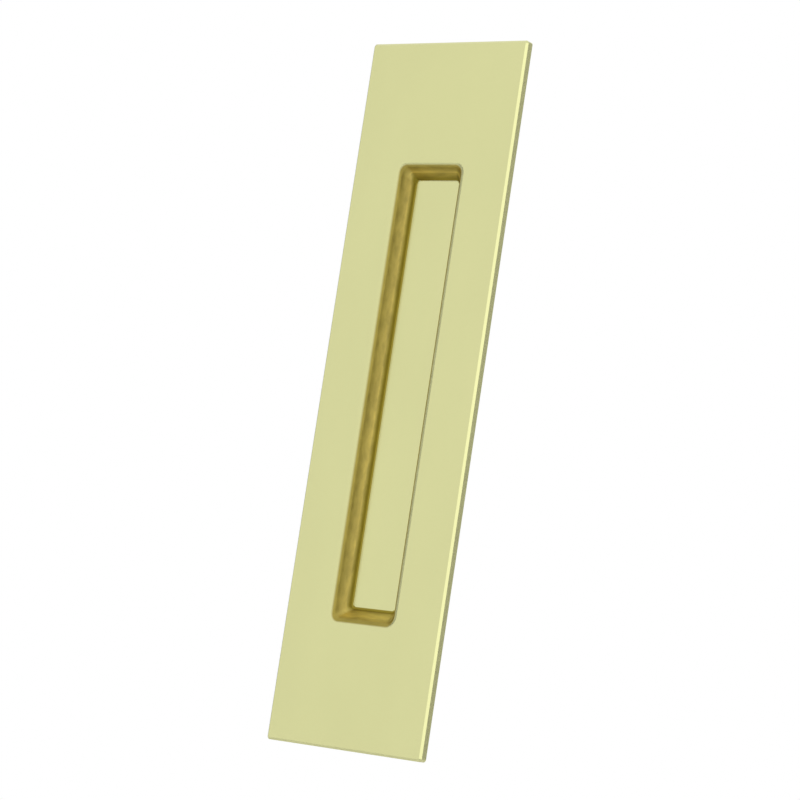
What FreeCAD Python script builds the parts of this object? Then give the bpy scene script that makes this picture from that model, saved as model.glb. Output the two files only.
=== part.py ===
import FreeCAD, Part
import math
import os

import Sketcher

# Flush pull for a pocket door, one piece of solid brass.
#
# A thin rectangular flange lies on the door's face. The finger pocket in its middle is sunk into
# a cup behind the flange, and the cup drops into a mortise cut in the door. The pocket's walls
# slope down to its floor, the long ones, which the door is pulled by, more steeply than the ends.
#
# Frame: X to the right, Y into the door, Z up, in millimetres. The origin is the middle of the
# flange's back, in the plane of the door's face. Heights are counted from there towards the user,
# so the flange's front has a positive height and the pocket's floor a negative one.

SHEET = "Dimensions"

# Driving dimensions, in millimetres.
DIMENSIONS = {
    "flange_length": 177.8,
    "flange_width": 47.625,
    "flange_thickness": 2.3,
    "flange_corner": 0.8,
    "flange_bevel": 0.55,
    "pocket_length": 114.7,
    "pocket_width": 19.05,
    "pocket_depth": 4.4,
    "pocket_corner": 2.2,
    "floor_corner": 1.2,
    "side_slope_run": 2.8,
    "end_slope_run": 3.1,
    "rim_radius": 2.0,
    "floor_radius": 0.5,
    "cup_wall": 3.175,
    "cup_bevel": 0.6,
}

# How far an edge may lie from a plane and still count as in it.
PLANE_TOLERANCE = 1e-4


def write_sheet(doc):
    """Puts each driving dimension into a cell of its own, named by an alias."""
    sheet = doc.addObject("Spreadsheet::Sheet", SHEET)
    for row, (alias, value) in enumerate(DIMENSIONS.items(), start=1):
        sheet.set(f"A{row}", alias)
        sheet.set(f"B{row}", str(value))
        sheet.setAlias(f"B{row}", alias)
    doc.recompute()
    return sheet


def from_sheet(expression):
    """The expression with the name of every driving dimension turned into its cell."""
    words = expression.split()
    return " ".join(f"{SHEET}.{word}" if word in DIMENSIONS else word for word in words)


def door_plane(body):
    """The body's XZ plane, which is the door's face. It looks towards the user."""
    return next(plane for plane in body.Origin.OriginFeatures if plane.Role == "XZ_Plane")


def rounded_rectangle(body, name, width, length, corner, height):
    """A sketch parallel to the door's face: a rectangle about the origin, with round corners."""
    sketch = body.newObject("Sketcher::SketchObject", name)
    sketch.AttachmentSupport = [(door_plane(body), "")]
    sketch.MapMode = "FlatFace"
    sketch.setExpression("AttachmentOffset.Base.z", from_sheet(height))

    # The outline is drawn roughly, anticlockwise from its bottom side. The constraints size it.
    side_x, side_z, radius = 20.0, 60.0, 2.0
    inner_x, inner_z = side_x - radius, side_z - radius
    sides = [
        ((-inner_x, -side_z), (inner_x, -side_z)),
        ((side_x, -inner_z), (side_x, inner_z)),
        ((inner_x, side_z), (-inner_x, side_z)),
        ((-side_x, inner_z), (-side_x, -inner_z)),
    ]
    centres = [(inner_x, -inner_z), (inner_x, inner_z), (-inner_x, inner_z), (-inner_x, -inner_z)]
    quarter = math.pi / 2
    for index, ((start, end), centre) in enumerate(zip(sides, centres)):
        circle = Part.Circle(FreeCAD.Vector(*centre, 0), FreeCAD.Vector(0, 0, 1), radius)
        sketch.addGeometry(Part.LineSegment(FreeCAD.Vector(*start, 0), FreeCAD.Vector(*end, 0)))
        sketch.addGeometry(Part.ArcOfCircle(circle, (index - 1) * quarter, index * quarter))

    lines = [0, 2, 4, 6]
    arcs = [1, 3, 5, 7]
    start, end, centre = 1, 2, 3
    for index, (line, arc) in enumerate(zip(lines, arcs)):
        next_line = lines[(index + 1) % len(lines)]
        direction = "Horizontal" if index % 2 == 0 else "Vertical"
        sketch.addConstraint(Sketcher.Constraint(direction, line))
        sketch.addConstraint(Sketcher.Constraint("Tangent", line, end, arc, start))
        sketch.addConstraint(Sketcher.Constraint("Tangent", arc, end, next_line, start))
    for arc in arcs[1:]:
        sketch.addConstraint(Sketcher.Constraint("Equal", arcs[0], arc))
    sketch.addConstraint(Sketcher.Constraint("Symmetric", arcs[0], centre, arcs[2], centre, -1, 1))

    bottom, right, top, left = lines
    sizes = {
        "width": (Sketcher.Constraint("DistanceX", left, start, right, start, 2 * side_x), width),
        "length": (Sketcher.Constraint("DistanceY", bottom, start, top, start, 2 * side_z), length),
        "corner": (Sketcher.Constraint("Radius", arcs[0], radius), corner),
    }
    for size, (constraint, expression) in sizes.items():
        sketch.renameConstraint(sketch.addConstraint(constraint), size)
        sketch.setExpression(f"Constraints.{size}", from_sheet(expression))
    return sketch


def pad(body, name, sketch, length, into_door=False):
    """A straight block on the sketch, towards the user or into the door."""
    feature = body.newObject("PartDesign::Pad", name)
    feature.Profile = sketch
    feature.Reversed = into_door
    feature.setExpression("Length", from_sheet(length))
    body.Document.recompute()
    return feature


def cut_between(body, name, mouth, floor):
    """A hollow whose walls run straight from the mouth's outline to the floor's."""
    volume_before = body.Tip.Shape.Volume
    feature = body.newObject("PartDesign::SubtractiveLoft", name)
    feature.Profile = mouth
    feature.Sections = [floor]
    feature.Ruled = True
    body.Document.recompute()
    if feature.Shape.Volume >= volume_before:
        raise RuntimeError(f"{name} cut nothing")
    return feature


def edges_at(feature, height, narrower=math.inf, wider=0.0):
    """Names of the edges that lie at one height, and reach less or more than a half width."""
    names = []
    for number, edge in enumerate(feature.Shape.Edges, start=1):
        box = edge.BoundBox
        off_plane = max(abs(box.YMin + height), abs(box.YMax + height))
        reach = max(abs(box.XMin), abs(box.XMax))
        if off_plane < PLANE_TOLERANCE and wider < reach < narrower:
            names.append(f"Edge{number}")
    if not names:
        raise RuntimeError(f"{feature.Name} has no such edge at height {height}")
    return names


def dress(body, kind, name, edges, size):
    """A fillet or a chamfer on edges of the body as it stands."""
    base = body.Tip
    feature = body.newObject(f"PartDesign::{kind}", name)
    feature.Base = (base, edges)
    feature.setExpression("Radius" if kind == "Fillet" else "Size", from_sheet(size))
    body.Document.recompute()
    return feature


def pull_body(doc, sheet):
    """The whole pull: flange, cup and finger pocket, with soft inner edges and bevelled outer ones."""
    body = doc.addObject("PartDesign::Body", "PullBody")
    body.Label = "pull_body"

    flange = rounded_rectangle(
        body, "FlangeOutline", "flange_width", "flange_length", "flange_corner", "0 mm")
    pad(body, "Flange", flange, "flange_thickness")

    cup = rounded_rectangle(
        body,
        "CupOutline",
        width="pocket_width + 2 * cup_wall",
        length="pocket_length + 2 * cup_wall",
        corner="pocket_corner + cup_wall",
        height="0 mm",
    )
    pad(body, "Cup", cup, "pocket_depth + cup_wall - flange_thickness", into_door=True)

    mouth = rounded_rectangle(
        body, "PocketMouth", "pocket_width", "pocket_length", "pocket_corner", "flange_thickness")
    floor = rounded_rectangle(
        body,
        "PocketFloor",
        width="pocket_width - 2 * side_slope_run",
        length="pocket_length - 2 * end_slope_run",
        corner="floor_corner",
        height="flange_thickness - pocket_depth",
    )
    pocket = cut_between(body, "Pocket", mouth, floor)

    face_height = sheet.flange_thickness
    floor_height = face_height - sheet.pocket_depth
    cup_height = floor_height - sheet.cup_wall
    cup_reach = sheet.pocket_width / 2 + sheet.cup_wall

    dress(body, "Fillet", "FloorRounding", edges_at(pocket, floor_height), "floor_radius")
    rim = edges_at(body.Tip, face_height, narrower=cup_reach)
    dress(body, "Fillet", "RimRounding", rim, "rim_radius")
    front = edges_at(body.Tip, face_height, wider=cup_reach)
    dress(body, "Chamfer", "FlangeBevel", front, "flange_bevel")
    dress(body, "Chamfer", "CupBevel", edges_at(body.Tip, cup_height), "cup_bevel")
    return body


def check(doc, sub_parts):
    """Stops before anything is written if a feature failed or a sub-part isn't one sound solid."""
    for item in doc.Objects:
        if "Invalid" in item.State or "Error" in item.State:
            raise RuntimeError(f"{item.Label} failed: {item.State}")
    for item in sub_parts:
        shape = item.Shape
        if shape.isNull() or not shape.isValid() or len(shape.Solids) != 1:
            raise RuntimeError(f"{item.Label} isn't one valid solid")


def export(sub_parts):
    """Writes each sub-part's shape to a STEP file under its own label."""
    os.makedirs("parts", exist_ok=True)
    for item in sub_parts:
        box = item.Shape.BoundBox
        size = f"{box.XLength:.2f} x {box.YLength:.2f} x {box.ZLength:.2f} mm"
        item.Shape.exportStep(f"parts/{item.Label}.step")
        print(f"{item.Label}: {size}, {item.Shape.Volume / 1000:.2f} cm3")


def main():
    doc = FreeCAD.newDocument("FlushPull")
    sheet = write_sheet(doc)
    sub_parts = [pull_body(doc, sheet)]
    doc.recompute()
    check(doc, sub_parts)
    export(sub_parts)


main()
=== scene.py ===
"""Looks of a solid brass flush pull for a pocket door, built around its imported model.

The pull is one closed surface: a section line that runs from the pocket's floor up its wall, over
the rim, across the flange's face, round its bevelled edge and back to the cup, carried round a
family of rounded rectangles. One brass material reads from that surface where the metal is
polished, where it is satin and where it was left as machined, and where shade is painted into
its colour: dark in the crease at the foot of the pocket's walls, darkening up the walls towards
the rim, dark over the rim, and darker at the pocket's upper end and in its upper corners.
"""

import math

import bpy
import numpy as np
from bpy.props import FloatProperty, FloatVectorProperty, PointerProperty
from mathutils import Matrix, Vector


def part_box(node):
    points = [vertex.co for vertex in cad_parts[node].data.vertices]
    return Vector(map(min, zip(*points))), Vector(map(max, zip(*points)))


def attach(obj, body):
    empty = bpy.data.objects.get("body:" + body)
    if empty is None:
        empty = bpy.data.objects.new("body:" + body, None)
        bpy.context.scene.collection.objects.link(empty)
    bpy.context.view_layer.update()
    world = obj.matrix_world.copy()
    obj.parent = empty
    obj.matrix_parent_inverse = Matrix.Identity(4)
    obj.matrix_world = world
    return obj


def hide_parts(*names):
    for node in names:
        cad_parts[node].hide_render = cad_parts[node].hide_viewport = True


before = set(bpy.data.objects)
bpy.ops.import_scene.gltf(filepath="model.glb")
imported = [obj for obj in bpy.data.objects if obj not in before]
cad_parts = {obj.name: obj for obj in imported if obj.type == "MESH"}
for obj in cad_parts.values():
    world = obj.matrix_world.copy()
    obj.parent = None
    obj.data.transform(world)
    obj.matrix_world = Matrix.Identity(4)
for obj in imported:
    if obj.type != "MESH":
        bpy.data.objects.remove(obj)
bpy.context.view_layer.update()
PULL_LOW, PULL_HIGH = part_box("pull_body")

bl_info = {
    "name": "Flush pull",
    "version": (1, 0, 0),
    "blender": (4, 5, 0),
    "location": "3D View > Sidebar > Flush pull",
    "description": "Builds a brass flush pull around its packed model, with a plain stage",
    "category": "Object",
}

MM = 0.001

# How finely the pull's arcs, walls and corners are divided, and the stage's sheets.
ARC_STEPS = 10
WALL_STEPS = 10
CORNER_STEPS = 12
SHEET_POINTS = 33

# How far inside the foot of the walls the flat floor starts, in radii of the floor's rounding.
FLOOR_INSET = 1.2

# Places along the finish and its painted shade, as the surface's own attribute holds them. From
# the polished floor it goes through the crease, painted dark as shade, up the satin wall, painted
# darker towards the top as shade, and over its rim, painted dark as shade, to the polished face, and
# then to the machined back.
ON_FLOOR, ON_FACE, ON_BACK = 0.0, 0.5, 1.0
CREASE_SHADE_START, CREASE_SHADE_END = 0.008, 0.075
WALL_TONE = 0.15
RIM_SHADE_START, RIM_SHADE_END = 0.33, 0.393
POLISH_START, FACE_END = 0.438, 0.8
SATIN_START, GLOSS_START = 0.04, 0.45
STREAKS_START, STREAKS_FULL, STREAKS_FADE, STREAKS_END = 0.03, 0.11, 0.34, 0.42

# Each pair is a place at a pocket's end and the place at its sides that has the same finish and
# painted shade. The upper end is painted darker, as shade: the polish runs a little up the foot of
# its wall, and then the crease's painted shade reaches far up it. The polish stops short of the
# lower one, where the satin and the rim's painted shade also reach further over the rim.
UPPER_END = (
    (0.033, ON_FLOOR), (0.037, 0.086), (0.10, 0.090), (0.16, 0.110), (0.23, 0.123), (0.26, 0.21),
    (0.29, 0.25), (0.35, 0.31), (0.385, 0.36), (0.42, 0.41), (ON_FACE, ON_FACE), (ON_BACK, ON_BACK),
)
LOWER_END = (
    (ON_FLOOR, 0.03), (0.033, 0.07), (0.037, 0.090), (0.10, 0.128), (0.16, 0.144), (0.23, 0.155),
    (0.29, 0.185), (0.35, 0.245), (0.395, RIM_SHADE_START), (0.455, RIM_SHADE_END), (0.49, POLISH_START),
    (ON_FACE, ON_FACE), (ON_BACK, ON_BACK),
)

# In the pocket's upper corners the crease's painted shade is wider, so these corners are painted
# darker. Each pair is a place along the finish, and the place whose finish and painted shade the
# middle of the corner has there.
UPPER_CORNER_SHADE = (
    (ON_FLOOR, ON_FLOOR), (0.112, 0.078), (0.145, 0.125), (0.22, 0.22), (ON_FACE, ON_FACE),
    (ON_BACK, ON_BACK),
)

# Noise of the finish: features per metre along X, Y and Z, and its detail. The streaks change fast
# with the depth, so they follow the walls. The lines change fast across the pull, so they follow
# its length.
CLOUDS = (60.0, 60.0, 30.0), 2.0
STREAKS = (200.0, 900.0, 280.0), 3.0
LINES = (2500.0, 2500.0, 40.0), 2.0


def length(name, description, default):
    """A size in metres, shown in the scene's length unit."""
    return FloatProperty(name=name, description=description, default=default, unit="LENGTH", precision=5)


def colour(name, description, default):
    """A linear colour."""
    return FloatVectorProperty(
        name=name, description=description, default=default, subtype="COLOR", min=0.0, max=1.0)


def share(name, description, default):
    """A share from nothing to all."""
    return FloatProperty(
        name=name, description=description, default=default, subtype="FACTOR", min=0.0, max=1.0)


def angle(name, description, degrees):
    """An angle, to the right where it is positive."""
    return FloatProperty(
        name=name, description=description, default=math.radians(degrees), unit="ROTATION")


class FLUSHPULL_PG_sizes(bpy.types.PropertyGroup):
    """Sizes of the pull's section and outlines. The flange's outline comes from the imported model."""

    flange_corner: length("Flange corner", "Corner radius of the flange's outline", 0.8 * MM)
    flange_bevel: length("Flange bevel", "Bevel along the flange's front edge", 0.55 * MM)
    pocket_width: length("Pocket width", "Across, from where walls and face would meet", 19.05 * MM)
    pocket_length: length("Pocket length", "Along, from where walls and face would meet", 114.7 * MM)
    pocket_depth: length("Pocket depth", "From the flange's face to the pocket's floor", 4.4 * MM)
    pocket_corner: length("Pocket corner", "Corner radius of the pocket's mouth", 2.2 * MM)
    floor_corner: length("Floor corner", "Corner radius where the walls would meet the floor", 1.2 * MM)
    side_slope_run: length("Side slope", "How far each long wall leans in on its way down", 2.8 * MM)
    end_slope_run: length("End slope", "How far each end wall leans in on its way down", 3.1 * MM)
    rim_radius: length("Rim rounding", "Radius between the pocket's walls and the face", 2.0 * MM)
    floor_radius: length("Floor rounding", "Radius between the pocket's walls and its floor", 0.5 * MM)
    cup_wall: length("Cup wall", "Thickness of the cup's walls at the mouth", 3.175 * MM)
    cup_bevel: length("Cup bevel", "Bevel round the back of the cup", 0.6 * MM)
    edge_break: length("Edge break", "Radius that deburring leaves on each outer edge", 0.06 * MM)


class FLUSHPULL_PG_finish_and_shade(bpy.types.PropertyGroup):
    """Colours and roughness of the brass, with shade painted into the colours of its crease and rim."""

    polished: colour("Polished brass", "Face of the flange and floor of the pocket", (0.678, 0.678, 0.340))
    # Painted shade: the pocket's rounded rim is painted dark all round.
    rim: colour("Rim", "Rounded rim of the pocket", (0.398, 0.322, 0.072))
    wall: colour("Satin wall", "Walls of the pocket", (0.73, 0.603, 0.180))
    # Painted shade: the foot of the pocket's walls is painted dark where they meet the floor.
    crease_shade: colour("Crease", "Foot of the pocket's walls, where polish stays behind", (0.30, 0.240, 0.031))
    machined: colour("Machined back", "Back of the flange and outside of the cup", (0.60, 0.56, 0.28))
    face_roughness: share("Face roughness", "Roughness of the polished brass", 0.18)
    wall_roughness: share("Wall roughness", "Roughness of the satin brass", 0.45)
    back_roughness: share("Back roughness", "Roughness of the machined brass", 0.50)
    tone: share("Tone", "How far the brass's brightness wanders over the whole pull", 0.03)
    streaks: share("Streaks", "How far it wanders in the streaks along the pocket's walls", 0.42)
    brushing: share("Brushing", "How far it wanders in the fine lines along the machined back", 0.14)
    polish: share("Polish lines", "How far the roughness wanders in fine lines along the pull", 0.10)
    polish_height: length("Polish height", "Depth of the fine lines that polishing leaves", 0.001 * MM)


class FLUSHPULL_PG_stage(bpy.types.PropertyGroup):
    """Floor, light and camera."""

    floor_drop: length("Floor drop", "How far the floor lies below the pull", 100.0 * MM)
    floor_radius: length("Floor radius", "Radius of the round floor, which ends at the cards", 1.2)
    floor_colour: colour("Floor colour", "Pale floor", (0.92, 0.92, 0.92))
    surround: FloatProperty(name="Surround", description="Level of the white surround", default=1.0, min=0.0)
    card_radius: length("Card radius", "How far the grey cards stand from the pull", 1.2)
    right_card: colour("Right card", "Grey card that shades the pull from its right", (0.68, 0.68, 0.68))
    right_start: angle("Right card's start", "Where the right card starts, turned from the front", 62.0)
    right_end: angle("Right card's end", "Where the right card ends, turned from the front", 175.0)
    left_card: colour("Left card", "Grey card that shades the pull from its left", (0.72, 0.72, 0.72))
    left_start: angle("Left card's start", "Where the left card starts, turned from the front", -46.0)
    left_end: angle("Left card's end", "Where the left card ends, turned from the front", -150.0)
    card_foot: length("Card foot", "Height of the cards' lower edges", -0.18)
    card_top: length("Card top", "Height of the cards' upper edges", 1.2)
    lamp_power: FloatProperty(
        name="Edge lamp", description="Power of the soft lamp that the flange's edge glints in",
        default=0.75, min=0.0, unit="POWER")
    lamp_width: length("Lamp width", "Width of the edge lamp", 0.45)
    lamp_height: length("Lamp height", "Height of the edge lamp", 1.2)
    lamp_distance: length("Lamp distance", "How far the edge lamp stands from the pull", 1.3)
    lamp_rise: length("Lamp rise", "Height of the edge lamp's middle", 0.1)
    lamp_turn: angle("Lamp turn", "Where the edge lamp stands, turned from the front", 53.0)
    camera_place: FloatVectorProperty(
        name="Camera", description="Place of the camera", default=(0.44381, -0.58620, -0.08784),
        subtype="TRANSLATION", unit="LENGTH")
    camera_turn: FloatVectorProperty(
        name="Camera turn", description="Turn of the camera about X, Y and Z",
        default=tuple(math.radians(degrees) for degrees in (96.748, -8.593, 36.126)),
        subtype="EULER", unit="ROTATION")
    camera_lens: FloatProperty(
        name="Lens", description="Focal length of the camera", default=134.88, unit="CAMERA")
    camera_sensor: FloatProperty(
        name="Sensor", description="Width of the camera's sensor", default=36.0, unit="CAMERA")
    camera_near: length("Near limit", "How near to itself the camera still sees", 0.01)


def round_corners(points, radii):
    """Stations along a line through the points, with an arc in place of each inner point.

    A row of points is (distance from the middle, depth, corner radius in plan). At a corner where
    the line turns by an angle A, an arc of radius r touches both legs at r tan(A / 2) from the
    corner. It is drawn as the rational quadratic Bezier curve between these two places, with the
    corner as its control point at weight cos(A / 2), which is an exact circle. The outward normal
    is the line's direction turned by a right angle, and on an arc it lies along the radius.
    Returns the stations and their normals as (distance, depth).
    """
    corner = points[1:-1]
    leg_in, leg_out = corner - points[:-2], points[2:] - corner
    reach_in = np.linalg.norm(leg_in[:, :2], axis=1, keepdims=True)
    reach_out = np.linalg.norm(leg_out[:, :2], axis=1, keepdims=True)
    way_in, way_out = leg_in[:, :2] / reach_in, leg_out[:, :2] / reach_out
    turn = np.arccos(np.clip((way_in * way_out).sum(axis=1, keepdims=True), -1.0, 1.0))
    radius = radii[:, None]
    touch = radius * np.tan(turn / 2)

    start = (corner - leg_in * touch / reach_in)[:, None]
    end = (corner + leg_out * touch / reach_out)[:, None]
    step = np.linspace(0.0, 1.0, ARC_STEPS + 1)[None, :, None]
    from_start, from_end = (1 - step) ** 2, step ** 2
    from_corner = 2 * step * (1 - step) * np.cos(turn / 2)[:, None]
    arcs = from_start * start + from_corner * corner[:, None] + from_end * end
    arcs = arcs / (from_start + from_corner + from_end)

    inward = way_out - way_in
    inward = inward / np.linalg.norm(inward, axis=1, keepdims=True)
    centre = corner[:, :2] + inward * radius / np.cos(turn / 2)
    spokes = (arcs[..., :2] - centre[:, None]) / radius[:, None]
    outward = np.stack([way_in[:, 1], -way_in[:, 0]], axis=1)
    facing = np.sign((spokes[:, 0] * outward).sum(axis=1))[:, None, None]

    stations = np.concatenate([points[:1], arcs.reshape(-1, 3), points[-1:]])
    ends = np.array([[0.0, -1.0], [0.0, 1.0]])
    normals = np.concatenate([ends[:1], (spokes * facing).reshape(-1, 2), ends[1:]])
    return stations, normals


def pull_section(sizes, flange_half, mouth_half, slope_run):
    """Section of the pull from the middle outwards, across its width or along its length.

    It goes along the pocket's floor, up the wall, over the rim, along the face, round the bevelled
    edge, back along the flange and round the cup. Returns what round_corners does.
    """
    face, back = PULL_LOW.y, PULL_HIGH.y
    floor = face + sizes.pocket_depth
    foot_half = mouth_half - slope_run
    cup_half = mouth_half + sizes.cup_wall
    cup_corner = sizes.pocket_corner + sizes.cup_wall
    bevel, cup_bevel = sizes.flange_bevel, sizes.cup_bevel
    inset = FLOOR_INSET * sizes.floor_radius
    edge = sizes.edge_break
    points = np.array([
        (foot_half - inset, floor, sizes.floor_corner - inset),
        (foot_half, floor, sizes.floor_corner),
        (mouth_half, face, sizes.pocket_corner),
        (flange_half - bevel, face, sizes.flange_corner - bevel),
        (flange_half, face + bevel, sizes.flange_corner),
        (flange_half, 0.0, sizes.flange_corner),
        (cup_half, 0.0, cup_corner),
        (cup_half, back - cup_bevel, cup_corner),
        (cup_half - cup_bevel, back, cup_corner - cup_bevel),
        (cup_half - 2 * cup_bevel, back, cup_corner - 2 * cup_bevel),
    ])
    radii = np.array([sizes.floor_radius, sizes.rim_radius, edge, edge, edge, edge, edge, edge])
    stations, normals = round_corners(points, radii)

    # Past the mouth, the rim's corners grow by as much as the rim goes outwards.
    rim = slice(ARC_STEPS + 2, 2 * ARC_STEPS + 3)
    past_mouth = stations[rim, 0] - mouth_half
    stations[rim, 2] = np.where(past_mouth > 0, sizes.pocket_corner + past_mouth, stations[rim, 2])

    # Even steps up the straight wall, between its two roundings, let the finish change on the way.
    below, above = slice(None, ARC_STEPS + 2), slice(ARC_STEPS + 2, None)
    foot, top = stations[below][-1], stations[above][0]
    up = np.linspace(0.0, 1.0, WALL_STEPS + 1)[1:-1, None]
    stations = np.concatenate([stations[below], foot + (top - foot) * up, stations[above]])
    wall_normals = np.repeat(normals[below][-1:], WALL_STEPS - 1, axis=0)
    normals = np.concatenate([normals[below], wall_normals, normals[above]])
    return stations, normals


def finish_and_shade_along(section):
    """Where each station of the section is in the finish and its painted shade, for the material to read.

    It goes with the distance along the section from the floor's edge to the rim's outer edge, as
    ON_FLOOR to ON_FACE, holds across the face and the flange's edge, and is ON_BACK behind it.
    """
    arc, wall = ARC_STEPS + 1, WALL_STEPS - 1
    foot, rim_end, back = 1, 2 * arc + wall, 4 * arc + wall + 1 + ARC_STEPS // 2
    step = np.linalg.norm(np.diff(section[foot:rim_end + 1, :2], axis=0), axis=1)
    way = np.concatenate([[0.0], np.cumsum(step)])
    finish = np.full(len(section), ON_FACE)
    finish[:foot] = ON_FLOOR
    finish[foot:rim_end + 1] = ON_FLOOR + (ON_FACE - ON_FLOOR) * way / way[-1]
    finish[back:] = ON_BACK
    return finish


def corner_turns():
    """Angle of each column of the surface in its quarter, from the long side to the end."""
    quarter = np.linspace(0.0, math.pi / 2, CORNER_STEPS + 1)
    return np.concatenate([quarter, quarter[::-1], quarter, quarter[::-1]])


def end_share():
    """How far each column of the surface is from the long side to the end, as its sine squared."""
    return np.sin(corner_turns()) ** 2


def at_stops(places, stops):
    """What the stops' second numbers give at places between their first ones."""
    known, given = zip(*stops)
    return np.interp(places, known, given)


def finish_and_shade_round(points, side, end):
    """Where each point of the surface is in the finish and its painted shade, with the pocket's two
    ends set apart.

    Round a corner it goes from the side's place to the end's by the angle's sine squared. In an
    upper corner it goes from there to UPPER_CORNER_SHADE's place by the sine of twice the angle,
    which paints the wider crease shade there.
    """
    upper = points[..., 2] > 0
    side_finish_and_shade = finish_and_shade_along(side)[:, None]
    end_way = finish_and_shade_along(end)[:, None]
    end_finish_and_shade = np.where(upper, at_stops(end_way, UPPER_END), at_stops(end_way, LOWER_END))
    end_finish_and_shade[0] = ON_FLOOR
    to_end = end_share()
    finish = side_finish_and_shade * (1 - to_end) + end_finish_and_shade * to_end
    in_corner = np.sin(2 * corner_turns()) * upper
    return finish + (at_stops(finish, UPPER_CORNER_SHADE) - finish) * in_corner


def carry_round(side, side_normals, end, end_normals):
    """Surface swept by the section as it goes round the pull.

    Each station is a rounded rectangle. With a quarter turn's angle a, sines and cosines of a lead
    from the long side (a = 0) to the end (a = 90 degrees): x is the half width less the corner
    radius times (1 - cos a), z is the half length less the corner radius times (1 - sin a), and
    the depth and the normal go from the side's to the end's by cos a squared and sin a squared.
    The four quarters are joined by straight runs. Returns points and normals on a grid.
    """
    turn = corner_turns()
    sign_x = np.repeat([1, -1, -1, 1], CORNER_STEPS + 1)
    sign_z = np.repeat([1, 1, -1, -1], CORNER_STEPS + 1)
    cosine, sine = np.cos(turn), np.sin(turn)
    to_end = end_share()
    to_side = 1 - to_end

    radius = side[:, 2:]
    x = sign_x * (side[:, :1] - radius * (1 - cosine))
    y = side[:, 1:2] * to_side + end[:, 1:2] * to_end
    z = sign_z * (end[:, :1] - radius * (1 - sine))
    out = side_normals[:, :1] * to_side + end_normals[:, :1] * to_end
    deep = side_normals[:, 1:] * to_side + end_normals[:, 1:] * to_end
    normals = np.stack([sign_x * out * cosine, deep, sign_z * out * sine], axis=2)
    normals /= np.linalg.norm(normals, axis=2, keepdims=True)
    return np.stack([x, y, z], axis=2), normals


def grid_mesh(name, points, normals):
    """Mesh of a grid that closes on itself one way and has a flat cap at each end the other way."""
    rows, columns = points.shape[:2]
    index = np.arange(rows * columns).reshape(rows, columns)
    following = np.roll(index, -1, axis=1)
    quads = np.stack([index[:-1], index[1:], following[1:], following[:-1]], axis=2).reshape(-1, 4)
    caps = [index[0].tolist(), index[-1, ::-1].tolist()]
    mesh = bpy.data.meshes.new(name)
    mesh.from_pydata(points.reshape(-1, 3).tolist(), [], quads.tolist() + caps)
    mesh.shade_smooth()
    mesh.normals_split_custom_set_from_vertices(normals.reshape(-1, 3).tolist())
    return mesh


def add_node(tree, kind, **inputs):
    """A node of that kind, with the named inputs set or linked."""
    node = tree.nodes.new(kind)
    for name, value in inputs.items():
        socket = node.inputs[name.replace("_", " ")]
        if isinstance(value, bpy.types.NodeSocket):
            tree.links.new(value, socket)
        else:
            socket.default_value = value
    return node


def noise(tree, coordinates, scale, detail):
    """Cloudy noise about 0.5, with as many features per metre along X, Y and Z as scale says."""
    placed = add_node(tree, "ShaderNodeMapping", Vector=coordinates, Scale=scale)
    texture = add_node(tree, "ShaderNodeTexNoise", Vector=placed.outputs["Vector"], Scale=1.0, Detail=detail)
    return texture.outputs["Fac"]


def spread(tree, value, low, high):
    """Takes the range from 0 to 1 to the one from low to high."""
    return add_node(tree, "ShaderNodeMapRange", Value=value, To_Min=low, To_Max=high).outputs["Result"]


def ramp(tree, value, stops):
    """A colour ramp with (position, linear colour) stops."""
    node = add_node(tree, "ShaderNodeValToRGB", Fac=value)
    elements = node.color_ramp.elements
    for position, _ in stops[2:]:
        elements.new(position)
    for element, (position, tint) in zip(elements, stops):
        element.position = position
        element.color = (*tint, 1.0)
    return node.outputs["Color"]


def toned(tree, tint, cloud, reach, **more):
    """The colour with its brightness raised and lowered by as much as reach, as the cloud goes."""
    level = spread(tree, cloud, 1.0 - reach, 1.0 + reach)
    return add_node(tree, "ShaderNodeHueSaturation", Color=tint, Value=level, **more).outputs["Color"]


def grey(level):
    """A level as a colour."""
    return (level, level, level)


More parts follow.
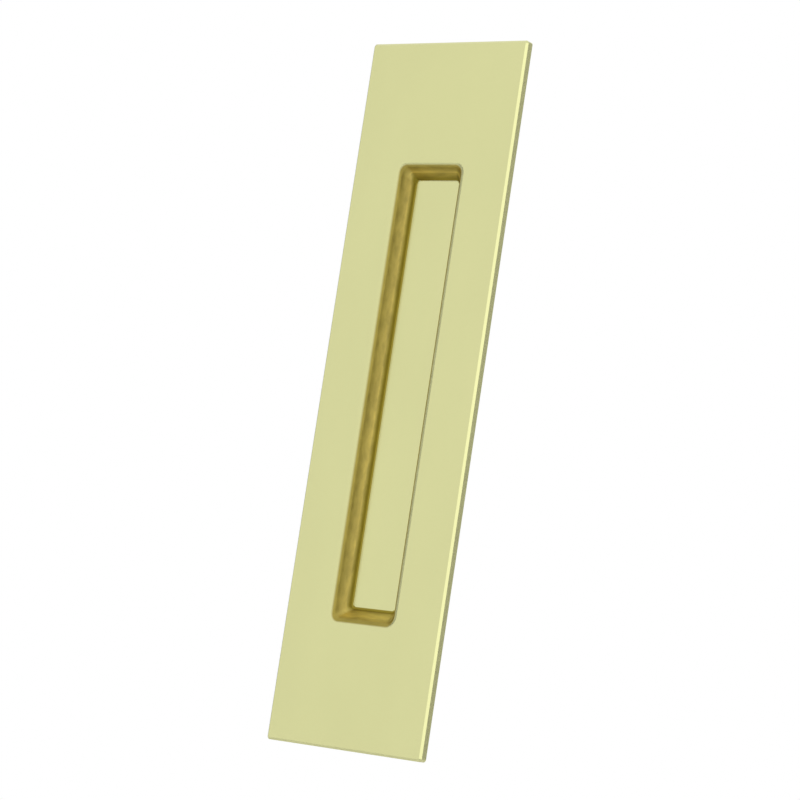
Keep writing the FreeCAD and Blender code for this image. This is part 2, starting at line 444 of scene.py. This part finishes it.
def brass_material(finish):
    """Solid brass: polished face and floor, satin pocket walls and machined back, with shade painted
    dark into the creases, up the walls towards the rim and over the rim.

    Colour, roughness and streaks go with the surface's own way along the finish and its painted
    shade. Slow clouds vary the tone, streaks follow the pocket's walls, and fine lines run along the
    pull, in the gloss of the polished brass and in the brightness of the machined back.
    """
    material = bpy.data.materials.new("solid_brass")
    material.use_nodes = True
    tree = material.node_tree
    shader = tree.nodes["Principled BSDF"]
    shader.inputs["Metallic"].default_value = 1.0

    way = tree.nodes.new("ShaderNodeAttribute")
    way.attribute_name = "finish_and_shade_way"
    coordinates = tree.nodes.new("ShaderNodeTexCoord").outputs["Object"]
    polished, rim = tuple(finish.polished), tuple(finish.rim)
    wall, crease_shade, machined = tuple(finish.wall), tuple(finish.crease_shade), tuple(finish.machined)
    along = way.outputs["Fac"]
    # The crease, the wall's darkening towards the rim and the rim itself are painted shade.
    tint = ramp(tree, along, [
        (ON_FLOOR, polished),
        (CREASE_SHADE_START, crease_shade),
        (CREASE_SHADE_END, crease_shade),
        (WALL_TONE, wall),
        (RIM_SHADE_START, rim),
        (RIM_SHADE_END, rim),
        (POLISH_START, polished),
        (FACE_END, polished),
        (ON_BACK, machined),
    ])
    streaky = ramp(tree, along, [
        (STREAKS_START, grey(0.0)),
        (STREAKS_FULL, grey(1.0)),
        (STREAKS_FADE, grey(1.0)),
        (STREAKS_END, grey(0.0)),
    ])
    brushed = ramp(tree, along, [
        (FACE_END, grey(0.0)),
        (ON_BACK, grey(1.0)),
    ])
    rough = ramp(tree, along, [
        (ON_FLOOR, grey(finish.face_roughness)),
        (SATIN_START, grey(finish.wall_roughness)),
        (RIM_SHADE_END, grey(finish.wall_roughness)),
        (GLOSS_START, grey(finish.face_roughness)),
        (FACE_END, grey(finish.face_roughness)),
        (ON_BACK, grey(finish.back_roughness)),
    ])

    clouds = noise(tree, coordinates, *CLOUDS)
    streaks = noise(tree, coordinates, *STREAKS)
    lines = noise(tree, coordinates, *LINES)
    tint = toned(tree, tint, clouds, finish.tone)
    tint = toned(tree, tint, streaks, finish.streaks, Fac=streaky)
    tint = toned(tree, tint, lines, finish.brushing, Fac=brushed)
    tree.links.new(tint, shader.inputs["Base Color"])
    tree.links.new(toned(tree, rough, lines, finish.polish), shader.inputs["Roughness"])
    bump = add_node(tree, "ShaderNodeBump", Height=lines, Strength=1.0, Distance=finish.polish_height)
    tree.links.new(bump.outputs["Normal"], shader.inputs["Normal"])
    return material


def plain_material(name, tint):
    """A matt coat of one colour, for the stage."""
    material = bpy.data.materials.new(name)
    material.use_nodes = True
    shader = material.node_tree.nodes["Principled BSDF"]
    shader.inputs["Base Color"].default_value = (*tint, 1.0)
    shader.inputs["Roughness"].default_value = 1.0
    shader.inputs["Specular IOR Level"].default_value = 0.0
    return material


def stage_sheet(scene, name, points, tint):
    """A stage object from a grid of points, in one matt colour."""
    rows, columns = points.shape[:2]
    index = np.arange(rows * columns).reshape(rows, columns)
    quads = np.stack([index[:-1, :-1], index[:-1, 1:], index[1:, 1:], index[1:, :-1]], axis=2)
    mesh = bpy.data.meshes.new(name)
    mesh.from_pydata(points.reshape(-1, 3).tolist(), [], quads.reshape(-1, 4).tolist())
    mesh.materials.append(plain_material(name, tint))
    sheet = bpy.data.objects.new(name, mesh)
    scene.collection.objects.link(sheet)
    return sheet


class FLUSHPULL_OT_body(bpy.types.Operator):
    """Builds the pull's body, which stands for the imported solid"""

    bl_idname = "flush_pull.body"
    bl_label = "Pull body"

    def execute(self, context):
        sizes = context.scene.flush_pull_sizes
        side, side_normals = pull_section(
            sizes, PULL_HIGH.x, sizes.pocket_width / 2, sizes.side_slope_run)
        end, end_normals = pull_section(
            sizes, PULL_HIGH.z, sizes.pocket_length / 2, sizes.end_slope_run)
        points, normals = carry_round(side, side_normals, end, end_normals)
        finish_and_shade_way = finish_and_shade_round(points, side, end)
        mesh = grid_mesh("brass_pull", points, normals)
        mesh.attributes.new("finish_and_shade_way", "FLOAT", "POINT").data.foreach_set("value", finish_and_shade_way.ravel())
        mesh.materials.append(brass_material(context.scene.flush_pull_finish))

        piece = bpy.data.objects.new("brass_pull", mesh)
        context.scene.collection.objects.link(piece)
        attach(piece, "root")
        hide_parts("pull_body")
        return {"FINISHED"}


def lay_floor(scene, stage):
    """A pale disc below the pull.

    It is bent from a square of u and v from -1 to 1: x is the radius times u times the root of
    1 - v * v / 2, and y the same with u and v exchanged.
    """
    across = np.linspace(-1.0, 1.0, SHEET_POINTS)
    u, v = np.meshgrid(across, across, indexing="ij")
    x, y = u * np.sqrt(1 - v * v / 2), v * np.sqrt(1 - u * u / 2)
    z = np.full(x.shape, PULL_LOW.z - stage.floor_drop)
    disc = np.stack([stage.floor_radius * x, stage.floor_radius * y, z], axis=2)
    stage_sheet(scene, "pale_floor", disc, stage.floor_colour)


def stand_cards(scene, stage):
    """Two grey cards that the brass reflects and the camera doesn't see.

    A card is an upright part of a cylinder round the pull: x and y go with the sine and the cosine
    of the angle that it is turned from the front.
    """
    cards = {
        "right_card": (stage.right_start, stage.right_end, stage.right_card),
        "left_card": (stage.left_start, stage.left_end, stage.left_card),
    }
    heights = (stage.card_foot, stage.card_top)
    for name, (first, last, tint) in cards.items():
        turned, z = np.meshgrid(np.linspace(first, last, SHEET_POINTS), heights, indexing="ij")
        x, y = stage.card_radius * np.sin(turned), -stage.card_radius * np.cos(turned)
        card = stage_sheet(scene, name, np.stack([x, y, z], axis=2), tint)
        card.visible_camera = False


def light_stage(scene, stage):
    """A white surround, and one soft lamp that stands upright and faces the pull."""
    world = bpy.data.worlds.new("white_surround")
    world.use_nodes = True
    background = world.node_tree.nodes["Background"]
    background.inputs["Color"].default_value = (1.0, 1.0, 1.0, 1.0)
    background.inputs["Strength"].default_value = stage.surround
    scene.world = world

    light = bpy.data.lights.new("edge_lamp", "AREA")
    light.shape = "RECTANGLE"
    light.size, light.size_y = stage.lamp_width, stage.lamp_height
    light.energy = stage.lamp_power
    lamp = bpy.data.objects.new("edge_lamp", light)
    x, y = math.sin(stage.lamp_turn), -math.cos(stage.lamp_turn)
    lamp.location = (stage.lamp_distance * x, stage.lamp_distance * y, stage.lamp_rise)
    lamp.rotation_euler = (math.radians(90.0), 0.0, stage.lamp_turn)
    scene.collection.objects.link(lamp)


def place_camera(scene, stage):
    """The camera that looks at the pull from its right and from slightly below."""
    camera = bpy.data.objects.new("camera", bpy.data.cameras.new("camera"))
    camera.data.lens = stage.camera_lens
    camera.data.sensor_width = stage.camera_sensor
    camera.data.clip_start = stage.camera_near
    camera.location = stage.camera_place
    camera.rotation_euler = stage.camera_turn
    scene.collection.objects.link(camera)
    scene.camera = camera
    scene.view_settings.view_transform = "Standard"


class FLUSHPULL_OT_stage(bpy.types.Operator):
    """Lays the floor, stands the cards, sets the light and places the camera"""

    bl_idname = "flush_pull.stage"
    bl_label = "Stage"

    def execute(self, context):
        scene = context.scene
        stage = scene.flush_pull_stage
        lay_floor(scene, stage)
        stand_cards(scene, stage)
        light_stage(scene, stage)
        place_camera(scene, stage)
        return {"FINISHED"}


class FLUSHPULL_PT_panel(bpy.types.Panel):
    """Lists the pull's pieces and settings"""

    bl_idname = "FLUSHPULL_PT_panel"
    bl_label = "Flush pull"
    bl_space_type = "VIEW_3D"
    bl_region_type = "UI"
    bl_category = "Flush pull"

    def draw(self, context):
        scene = context.scene
        for group in (scene.flush_pull_sizes, scene.flush_pull_finish, scene.flush_pull_stage):
            box = self.layout.box()
            for name in group.__annotations__:
                box.prop(group, name)
        self.layout.operator(FLUSHPULL_OT_body.bl_idname)
        self.layout.operator(FLUSHPULL_OT_stage.bl_idname)


CLASSES = (
    FLUSHPULL_PG_sizes,
    FLUSHPULL_PG_finish_and_shade,
    FLUSHPULL_PG_stage,
    FLUSHPULL_OT_body,
    FLUSHPULL_OT_stage,
    FLUSHPULL_PT_panel,
)


def register():
    """Registers the classes and hangs the settings on the scene."""
    for cls in CLASSES:
        bpy.utils.register_class(cls)
    bpy.types.Scene.flush_pull_sizes = PointerProperty(type=FLUSHPULL_PG_sizes)
    bpy.types.Scene.flush_pull_finish = PointerProperty(type=FLUSHPULL_PG_finish_and_shade)
    bpy.types.Scene.flush_pull_stage = PointerProperty(type=FLUSHPULL_PG_stage)


def unregister():
    """Takes the settings off the scene and unregisters the classes."""
    del bpy.types.Scene.flush_pull_stage
    del bpy.types.Scene.flush_pull_finish
    del bpy.types.Scene.flush_pull_sizes
    for cls in reversed(CLASSES):
        bpy.utils.unregister_class(cls)


def main():
    """Builds the pull and its stage."""
    register()
    bpy.ops.flush_pull.body()
    bpy.ops.flush_pull.stage()


if __name__ == "__main__":
    main()
